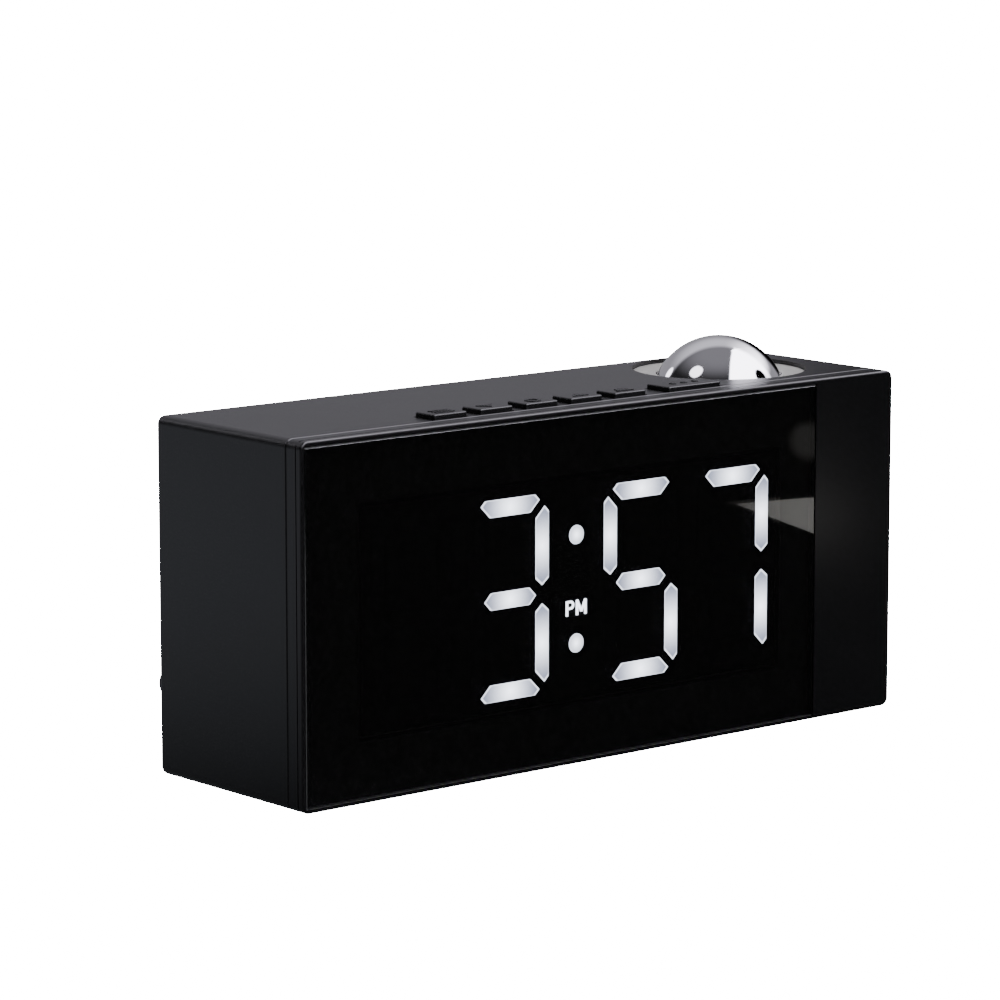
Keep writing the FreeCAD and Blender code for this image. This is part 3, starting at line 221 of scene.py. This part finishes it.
# Stage cards: two small bright ones close to the clock's front right give the lens the soft glints at
# its right edge, and a black one behind its right end darkens the top there. Only a gloss sees them,
# and they light nothing.
def stage_card(name, centre, facing, corners):
    """A flat card that faces one way. A corner is its centre plus so much of the level direction beside
    the facing one and so much of the direction square to both. Returns its shade and the places on it."""
    centre, facing = Vector(centre), Vector(facing).normalized()
    aside = Vector((0, 0, 1)).cross(facing).normalized()
    upright = facing.cross(aside)
    points = [tuple(centre + aside * right + upright * up) for right, up in corners]
    mesh = bpy.data.meshes.new(name)
    mesh.from_pydata(points, [], [list(range(len(points)))])
    card = bpy.data.objects.new(name, mesh)
    bpy.context.scene.collection.objects.link(card)
    card.visible_camera = card.visible_diffuse = card.visible_shadow = card.visible_transmission = False
    paint, shade = new_finish(name)
    mesh.materials.append(paint)
    return shade, shade.spot()


mirrored_view = (0.6375, -0.7531, -0.1626)
card_colour = (1, 0.98, 0.94, 1)
turn = np.linspace(0, 2 * np.pi, 24, endpoint=False)
round_edge = 0.0065 * np.stack([np.cos(turn), np.sin(turn)], axis=1)
centre = (0.1255, -0.0923, 0.0575)
shade, spot = stage_card("round_card", centre, mirrored_view, round_edge)
strength = shade.distance(spot, centre).rise(0.0064, 0.003) * 0.5
glow = shade.node("Emission", inputs={"Color": card_colour, "Strength": strength})
shade.node("OutputMaterial", inputs={"Surface": glow})

wedge = [(-0.0085, 0.0004), (0.0125, -0.0075), (0.0125, 0.0022)]
centre = (0.1105, -0.0923, 0.0418)
shade, spot = stage_card("wedge_card", centre, mirrored_view, wedge)
x, y, z = shade.axes(spot)
strength = ((x - centre[0]).rise(-0.008, 0.006) * 0.6 + 0.4) * 3.6
glow = shade.node("Emission", inputs={"Color": card_colour, "Strength": strength})
shade.node("OutputMaterial", inputs={"Surface": glow})

half = 0.08
square = [(-half, -half), (half, -half), (half, half), (-half, half)]
centre = (0.235, 0.088, 0.12)
shade, spot = stage_card("dark_card", centre, (0.6375, 0.7531, 0.1626), square)
black = shade.node("Emission", inputs={"Strength": 0.0})
clear = shade.node("BsdfTransparent")
covered = shade.distance(spot, centre).rise(0.076, 0.03)
faded = shade.node("MixShader", inputs={0: covered, 1: clear, 2: black})
shade.node("OutputMaterial", inputs={"Surface": faded})


# Lamps: a broad key light high on the right and a fill high on the left behind the clock, both aimed
# at the middle of the case and left out of every mirror picture.
for name, place, size, power in (("key", (0.9, -0.5, 1.3), 0.9, 9), ("fill", (-0.8, 0.9, 1.2), 1.2, 8)):
    lamp = bpy.data.lights.new(name, "AREA")
    lamp.size = size
    lamp.energy = power
    light = bpy.data.objects.new(name, lamp)
    light.location = place
    aim = Vector((0, 0, 0.05)) - Vector(place)
    light.rotation_euler = aim.to_track_quat("-Z", "Y").to_euler()
    light.visible_glossy = False
    bpy.context.scene.collection.objects.link(light)


# Rear housing, front bezel and battery door: satin black ABS from moulds with a fine spark-eroded
# grain, which scatters the light a little and shows as a grey bloom where the eye grazes it.
def close_finish(shade, **sockets):
    """Ends the tree in one Principled shader. An underscore stands for a space in a socket's name."""
    made = shade.tree.nodes.new("ShaderNodeBsdfPrincipled")
    for name, value in sockets.items():
        socket = made.inputs[name.replace("_", " ")]
        if isinstance(value, Link):
            shade.tree.links.new(value.socket, socket)
        else:
            socket.default_value = (*value, 1) if isinstance(value, tuple) else value
    shade.node("OutputMaterial", inputs={"Surface": Link(shade, made.outputs[0])})


def wear(material, *names):
    """Gives the material to the CAD nodes of those names."""
    for name in names:
        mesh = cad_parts[name].data
        mesh.materials.clear()
        mesh.materials.append(material)


satin, shade = new_finish("satin_abs")
spot = shade.spot()
pores = shade.grain(spot, 2600)
clouds = shade.grain(spot, 30, 3.0)
close_finish(
    shade,
    Base_Color=shade.blend(clouds, (0.0014, 0.0015, 0.0018), (0.0024, 0.0024, 0.0028)),
    Roughness=0.33 + clouds * 0.06,
    Normal=shade.relief(pores, 0.000012),
)
wear(satin, "rear_housing", "front_bezel", "battery_door")


# Display lens: a flat plate of smoked acrylic, polished on its face. Its cut edge is bevelled, and a painted
# highlight lies along it as a fine pale, rougher line at the top, the bottom and low on the left.
lens_low, lens_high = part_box("display_lens")
smoke, shade = new_finish("smoked_acrylic")
spot = shade.spot()
x, y, z = shade.axes(spot)
edge = 0.00035
# Painted highlight: masks for a pale band along the lens's left, top and bottom edges.
painted_left_highlight = x.rise(lens_low.x + edge * 0.7, lens_low.x + edge * 0.4)
painted_top_highlight = z.rise(lens_high.z - edge, lens_high.z - edge * 0.6)
painted_low_highlight = z.rise(lens_low.z + edge, lens_low.z + edge * 0.6)
rim = (painted_left_highlight * z.rise(lens_high.z - 0.01, lens_high.z - 0.03)).most(painted_top_highlight).most(painted_low_highlight)
# The painted highlight turns the lens pale grey, rougher and opaque along those edges.
close_finish(
    shade,
    Base_Color=shade.blend(rim, (0.003, 0.003, 0.0032), (0.12, 0.125, 0.13)),
    Roughness=0.02 + rim * 0.3 + shade.grain(spot, 25) * 0.01,
    Alpha=0.62 + rim * 0.38,
    Specular_IOR_Level=0.5,
)
wear(smoke, "display_lens")


# Lens tape: a frame of black closed-cell foam between the lens and the bezel, dull and finely pored.
# Its finish takes one noise for its colour and relief, as many of the next ones do.
def grained(name, scale, low, high, roughness, spread=0.0, depth=0.0, detail=2.0, **sockets):
    """A finish between two colours that follows one noise. The noise adds up to spread to the roughness
    and stands up to depth metres high. The other sockets hold constants."""
    material, shade = new_finish(name)
    noise = shade.grain(shade.spot(), scale, detail)
    if depth:
        sockets["Normal"] = shade.relief(noise, depth)
    sockets["Roughness"] = noise * spread + roughness if spread else roughness
    close_finish(shade, Base_Color=shade.blend(noise, low, high), **sockets)
    return material


foam = grained("foam_tape", 3000, (0.002, 0.002, 0.002), (0.005, 0.005, 0.005), 0.9, depth=0.00003)
wear(foam, "lens_tape")


# Light block and unlit segments: the block is matt black with one well for each segment, and the
# unlit segments are smoked resin, cast flush with its face, that disappear behind the lens.
colours = (0.0012, 0.0012, 0.0012), (0.002, 0.002, 0.002)
wear(grained("light_block", 1800, *colours, 0.75, 0.1, Specular_IOR_Level=0.15), "display_block")
colours = (0.0022, 0.0022, 0.0024), (0.003, 0.003, 0.0034)
resin = grained("smoked_resin", 900, *colours, 0.6, 0.1, Specular_IOR_Level=0.15)
wear(resin, "dark_segments")


# Lit segments: milky resin bars over white lamps, so each is brightest over its lamp, duller at its
# tips and has a thin bright line round its edge. They show 3:57 with two round colon dots, and
# between the dots a small window lets the two letters for the afternoon shine.
digit_wide, digit_high, bar_thick, slit = 0.0237, 0.0478, 0.00415, 0.003
block_low, block_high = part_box("display_block")
block_margin, digits_wide, seat_gap = 0.0026, 0.1242, 0.0001
digits_left = block_low.x + block_margin
digits_low = block_low.z + block_margin
digit_lefts = [digits_left + step for step in (0.0298, 0.0707, 0.1005)]
resin_low, resin_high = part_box("lit_segments")


def bar_outline(letter):
    """Corners of a digit's segment, measured from the digit's left side and low edge. A bar at the top
    or bottom and an upright have cut corners, so that neighbours leave a slit; the middle bar is pointed."""
    half, thick, middle = slit / 2, bar_thick, digit_high / 2
    far, near = (thick + half) / 2, (thick - half) / 2
    if letter in "ad":
        shape = [(far, near), (thick, 0), (digit_wide - thick, 0), (digit_wide - far, near)]
        shape += [(digit_wide - thick - half, thick), (thick + half, thick)]
    elif letter == "g":
        tip, shoulder = thick - half / 6, thick * 1.42
        low, high = middle - thick / 2, middle + thick / 2
        shape = [(tip, middle), (shoulder, low), (digit_wide - shoulder, low)]
        shape += [(digit_wide - tip, middle), (digit_wide - shoulder, high), (shoulder, high)]
    else:
        shape = [(near, far), (0, thick), (0, middle - thick + half / 4), (thick / 2, middle - half * 1.4)]
        shape += [(thick, middle - thick + half / 6), (thick, thick + half)]
    shape = np.array(shape)
    if letter in "bc":
        shape[:, 0] = digit_wide - shape[:, 0]
    if letter in "abf":
        shape[:, 1] = digit_high - shape[:, 1]
    return shape


def dense(corners, count=12):
    """The closed outline with count points on each side: shares of one corner and of the next."""
    share = np.arange(count)[None, :, None] / count
    after = np.roll(corners, -1, axis=0)
    return (corners[:, None, :] * (1 - share) + after[:, None, :] * share).reshape(-1, 2)


def ring(x, z, radius, count=48):
    """Points round a circle: the radius times the cosine and the sine of an evenly growing turn."""
    turn = np.linspace(0, 2 * np.pi, count, endpoint=False)
    return np.stack([x + radius * np.cos(turn), z + radius * np.sin(turn)], axis=1)


def build(name, shells, material, body, loop=False, marks=None, sharp=30):
    """One piece of one or more closed shells, on a body and in a material slot. Each shell is a grid of
    rows by columns by 3. A face joins rows i and i + 1 at columns j and j + 1, for the whole grid at
    once, the last column meets the first, and the first and last rows are capped, or join each other
    where loop is true. marks give each point's glow, and edges over sharp degrees stay sharp."""
    points, faces, start = [], [], 0
    for shell in shells:
        rows, columns, _ = shell.shape
        index = start + np.arange(rows * columns).reshape(rows, columns)
        if loop:
            index = np.vstack([index, index[:1]])
        after = np.roll(index, -1, axis=1)
        quads = np.stack([index[:-1], after[:-1], after[1:], index[1:]], axis=-1).reshape(-1, 4)
        faces += quads.tolist()
        if not loop:
            faces += [index[0][::-1].tolist(), index[-1].tolist()]
        points.append(shell.reshape(-1, 3))
        start += rows * columns
    mesh = bpy.data.meshes.new(name)
    mesh.from_pydata(np.vstack(points).tolist(), [], faces)
    if marks is not None:
        mesh.attributes.new("glow", "FLOAT", "POINT").data.foreach_set("value", marks.astype(np.float32))
    work = bmesh.new()
    work.from_mesh(mesh)
    bmesh.ops.recalc_face_normals(work, faces=work.faces)
    work.to_mesh(mesh)
    work.free()
    mesh.polygons.foreach_set("use_smooth", np.ones(len(mesh.polygons), bool))
    mesh.set_sharp_from_angle(angle=np.radians(sharp))
    mesh.materials.append(material)
    piece = bpy.data.objects.new(name, mesh)
    bpy.context.scene.collection.objects.link(piece)
    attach(piece, body)
    return piece


def glowing_pad(outline, lamp, reach):
    """A pad of resin as rings drawn in from the outline to its middle, with the light at each point: 1
    less the share of the reach that lies between it and the lamp, to the power 1.8, and more at the rim."""
    middle = outline.mean(axis=0)
    shares = np.array([0.04, 0.2, 0.35, 0.5, 0.63, 0.75, 0.85, 0.92, 0.965, 1.0])
    face = middle + shares[:, None, None] * (outline - middle)
    away = np.linalg.norm(face - lamp, axis=2) / reach
    light = np.clip(1 - away, 0, 1) ** 1.8
    light[-2:] = light[-2:] * 0.5 + 0.5
    rows = np.empty((len(shares) + 1, len(outline), 3))
    rows[:-1, :, 0], rows[:-1, :, 2] = face[..., 0], face[..., 1]
    rows[:-1, :, 1] = resin_low.y
    rows[-1] = rows[-2]
    rows[-1, :, 1] = resin_high.y
    return rows, np.vstack([light, light[-1:]])


pads = []
for left, letters in zip(digit_lefts, ("abcdg", "acdfg", "abc")):
    for letter in letters:
        corners = bar_outline(letter) + (left, digits_low)
        middle = (corners.min(axis=0) + corners.max(axis=0)) / 2
        corners = middle + (corners - middle) * (1 - seat_gap / np.ptp(corners, axis=0))
        pads.append(glowing_pad(dense(corners), middle, np.ptp(corners, axis=0).max() / 2))
dot_x = digits_left + digits_wide / 2
dot_middle = digits_low + digit_high / 2
dot_radius, dot_reach = 0.00225, 0.004
for dot_z in (dot_middle + 0.013, dot_middle - 0.013):
    pads.append(glowing_pad(ring(dot_x, dot_z, dot_radius), (dot_x, dot_z), dot_reach))

milk, shade = new_finish("lit_resin")
glow = shade.node("Attribute", {"attribute_name": "glow"}, out="Fac")
speck = shade.grain(shade.spot(), 700)
light = glow * 0.97 + speck * 0.03
close_finish(
    shade,
    Base_Color=shade.blend(speck, (0.55, 0.55, 0.6), (0.62, 0.62, 0.68)),
    Roughness=0.45,
    Emission_Color=shade.blend(light, (0.08, 0.09, 0.13), (0.86, 0.9, 1.0)),
    Emission_Strength=30.0,
)
marks = np.concatenate([light.ravel() for rows, light in pads])
bars = build("lit_bars", [rows for rows, light in pads], milk, "case", marks=marks)
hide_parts("lit_segments")


# Afternoon mark: a small window of smoked resin between the two dots, with two milky letters inlaid
# in its face. Each letter is made of straight strokes, each a hair's breadth in front of the last.
mark_wide, mark_high, mark_z = 0.0067, 0.0039, dot_middle - 0.0045
corners = np.array([(-1, -1), (1, -1), (1, 1), (-1, 1)]) * (mark_wide / 2, mark_high / 2) + (dot_x, mark_z)
window_depths = (resin_low.y + 0.0002, resin_high.y)
window_rows = np.array([[(cx, cy, cz) for cx, cz in corners] for cy in window_depths])
build("mark_window", [window_rows], resin, "case")


def stroke(start, end, wide=0.00052):
    """The corners of a straight stroke of a letter: half its width to both sides of its two ends."""
    start, end = np.array(start), np.array(end)
    way = (end - start) / np.linalg.norm(end - start)
    side = np.array([-way[1], way[0]]) * wide / 2
    return np.array([start - side, end - side, end + side, start + side]) + (dot_x, mark_z)


half = 0.0018
bowl_x, bowl_z = (-0.0027, -0.0015, -0.00095), (half - 0.00022, half - 0.0006, 0.0004)
bowl = [(bowl_x[0], bowl_z[0]), (bowl_x[1], bowl_z[0]), (bowl_x[2], bowl_z[1])]
bowl += [(bowl_x[2], bowl_z[2]), (bowl_x[1], 0.0), (bowl_x[0], 0.0)]
strokes = [stroke((-0.00285, -half), (-0.00285, half), 0.00062)]
strokes += [stroke(start, end) for start, end in zip(bowl[:-1], bowl[1:])]
left_leg, right_leg, valley = 0.0003, 0.0029, (0.0016, -half * 0.55)
strokes += [stroke((leg, -half), (leg, half), 0.0006) for leg in (left_leg, right_leg)]
strokes += [stroke((leg, half), valley) for leg in (left_leg, right_leg)]
hair, inlay, shells = 0.00001, 0.0003, []
for place, line in enumerate(strokes):
    depths = (resin_low.y - hair * place, resin_low.y + inlay)
    shells.append(np.array([[(line_x, depth, line_z) for line_x, line_z in line] for depth in depths]))
build("afternoon_letters", shells, milk, "case", marks=np.full(8 * len(shells), 0.85))


# Lamps, boards and their parts: white lamp chips on a green glass-epoxy board whose mask shows its
# tracks, black moulded components, and zinc-plated pan-head screws, all closed inside the case.
wear(grained("lamp_phosphor", 1500, (0.8, 0.72, 0.35), (0.9, 0.84, 0.5), 0.25), "lamp_chips")

mask, shade = new_finish("solder_mask")
spot = shade.spot()
x, y, z = shade.axes(spot)
lanes = x * 900 + y * 700
tracks = lanes.maths("FRACT", lanes).rise(0.72, 0.8) * shade.grain(spot, 60).rise(0.48, 0.52)
close_finish(
    shade,
    Base_Color=shade.blend(tracks, (0.012, 0.12, 0.05), (0.05, 0.26, 0.11)),
    Roughness=0.3 + tracks * 0.1,
    Normal=shade.relief(tracks, 0.00003),
)
wear(mask, "main_board", "key_board")

colours = (0.008, 0.008, 0.009), (0.014, 0.014, 0.015)
moulded = grained("moulded_component", 1200, *colours, 0.5, 0.15, depth=0.00001)
wear(moulded, "board_parts", "key_switches", "sounder", "power_socket", "lens_barrel")

zinc = grained("zinc_plate", 500, (0.42, 0.42, 0.4), (0.6, 0.6, 0.6), 0.28, 0.2, detail=4.0, Metallic=1.0)
wear(zinc, "board_screws", "case_screws", "key_board_screws", "pivot_pins", "battery_contacts", "socket_pin")


# Feet: four moulded rubber discs, glued into round recesses of the case's underside. They are dull
# and a little dusty, with a bloom that comes and goes over a millimetre or so.
colours = (0.012, 0.012, 0.012), (0.03, 0.03, 0.03)
rubber = grained("foot_rubber", 700, *colours, 0.8, 0.1, depth=0.00002, detail=4.0)
wear(rubber, "foot_front_left", "foot_front_right", "foot_back_left", "foot_back_right")


# Buttons: five small keys and a wide one in the same black ABS, a touch glossier from use, each with
# a low matt sign moulded on its cap: three bars, an arrow down, a ring, an arrow up, a bell and three
# dots.
key_abs, shade = new_finish("key_abs")
spot = shade.spot()
x, y, z = shade.axes(spot)
pores = shade.grain(spot, 2600)
touch = shade.grain(spot, 140)
cap_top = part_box("set_button")[1].z
on_sign = z.rise(cap_top + 0.00002, cap_top + 0.00007)
close_finish(
    shade,
    Base_Color=shade.blend(touch, (0.0012, 0.0013, 0.0016), (0.002, 0.002, 0.0024)),
    Roughness=0.3 + touch * 0.08 + on_sign * 0.4,
    Specular_IOR_Level=0.4,
    Normal=shade.relief(pores, 0.000008),
)
keys = ("mode_button", "down_button", "set_button", "up_button", "alarm_button", "snooze_button")
wear(key_abs, *keys)


def raised(outline, foot, height):
    """A low moulded shape with a soft edge: the outline at the foot, drawn in a little near the top."""
    middle = outline.mean(axis=0)
    soft = 0.00006 / np.ptp(outline, axis=0).max()
    levels = ((1.0, 0.0), (1.0, 0.55), (1 - soft * 0.7, 0.9), (1 - soft * 2, 1.0))
    rows = []
    for share, rise in levels:
        drawn = middle + (outline - middle) * share
        rows.append(np.column_stack([drawn, np.full(len(drawn), foot + height * rise)]))
    return np.array(rows)


def plank(x, y, wide, deep):
    """The corners of a bar with its middle at x and y, as a closed outline."""
    return dense(np.array([(-1, -1), (1, -1), (1, 1), (-1, 1)]) * (wide / 2, deep / 2) + (x, y), 4)


bell = np.array([(-0.002, -0.0008), (0.002, -0.0008), (0.0013, 0.0011), (0, 0.0017), (-0.0013, 0.0011)])
signs = {
    "mode_button": [plank(0, step, 0.0056, 0.00055) for step in (-0.0013, 0, 0.0013)],
    "down_button": [dense(np.array([(-0.0025, 0.0013), (0, -0.0016), (0.0025, 0.0013)]), 6)],
    "up_button": [dense(np.array([(-0.0025, -0.0013), (0.0025, -0.0013), (0, 0.0016)]), 6)],
    "alarm_button": [dense(bell, 5), plank(0, -0.0014, 0.0052, 0.0005)],
    "snooze_button": [ring(step, 0, 0.0009, 24) for step in (-0.0036, 0, 0.0036)],
}
sink, sign_high = 0.00005, 0.00022
for key in keys:
    key_low, key_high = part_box(key)
    middle = ((key_low.x + key_high.x) / 2, (key_low.y + key_high.y) / 2)
    foot = key_high.z - sink
    if key == "set_button":
        section = ((0.002, 0.0), (0.002, sign_high), (0.0012, sign_high), (0.0012, 0.0))
        shell = [[(*point, foot + high) for point in ring(*middle, radius, 40)] for radius, high in section]
        build("set_sign", [np.array(shell)], key_abs, key, loop=True)
    else:
        shells = [raised(outline + middle, foot, sign_high) for outline in signs[key]]
        build(key.replace("button", "sign"), shells, key_abs, key)


# Projector dish: a light warm-grey plate in the round hole of the top, painted satin, with the very
# soft mottle of sprayed paint. It carries the ball in two ears under the plate.
dish = grained("dish_paint", 220, (0.5, 0.49, 0.48), (0.56, 0.555, 0.545), 0.3, 0.08, detail=4.0)
wear(dish, "projector_dish")


# Projector ball: two vacuum-metallised halves, mirror bright with the faintest orange peel, and
# inside them the barrel, the lens, the film and the white lamp board behind a black ring.
colours = (0.8, 0.8, 0.81), (0.84, 0.84, 0.85)
chrome = grained("mirror_chrome", 90, *colours, 0.045, 0.02, detail=1.0, Metallic=1.0)
wear(chrome, "ball_lens_half", "ball_rear_half")

colours = (0.006, 0.006, 0.006), (0.01, 0.01, 0.01)
wear(grained("ring_black", 900, *colours, 0.28, 0.08), "lens_ring")

colours = (0.5, 0.52, 0.56), (0.56, 0.58, 0.62)
wear(grained("clear_optic", 80, *colours, 0.02, Alpha=0.35, Coat_Weight=1.0), "projection_lens")

wear(grained("printed_film", 600, (0.01, 0.01, 0.02), (0.02, 0.02, 0.035), 0.15), "time_film")

wear(grained("lamp_board_white", 400, (0.68, 0.68, 0.66), (0.76, 0.76, 0.74), 0.35), "projector_lamp")


# Cells: two slim cells in a plain shrink wrap, dark green with a pale band at one end. The wrap is
# glossy, with faint waves where it shrank over the can.
wrap, shade = new_finish("cell_wrap")
spot = shade.spot()
x, y, z = shade.axes(spot)
cell_low, cell_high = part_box("upper_cell")
band = x.rise(cell_high.x - 0.012, cell_high.x - 0.0118)
close_finish(
    shade,
    Base_Color=shade.blend(band, (0.02, 0.09, 0.06), (0.55, 0.55, 0.5)),
    Roughness=0.28 + shade.grain(spot, 300) * 0.06,
)
wear(wrap, "upper_cell", "lower_cell")


# Door ribs: three short grip bars moulded on the outside of the battery door, below its nail recess,
# of the same black ABS as the door.
door_low, door_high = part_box("battery_door")
door_middle = (door_low.x + door_high.x) / 2
rib_long, rib_wide, rib_high, ribs = 0.011, 0.0007, 0.0003, []
for step in (0.0045, 0.0063, 0.0081):
    shell = raised(plank(door_middle, door_high.z - step, rib_long, rib_wide), 0, rib_high)
    ribs.append(np.stack([shell[..., 0], door_high.y - sink + shell[..., 2], shell[..., 1]], axis=-1))
build("door_ribs", ribs, satin, "battery_door")
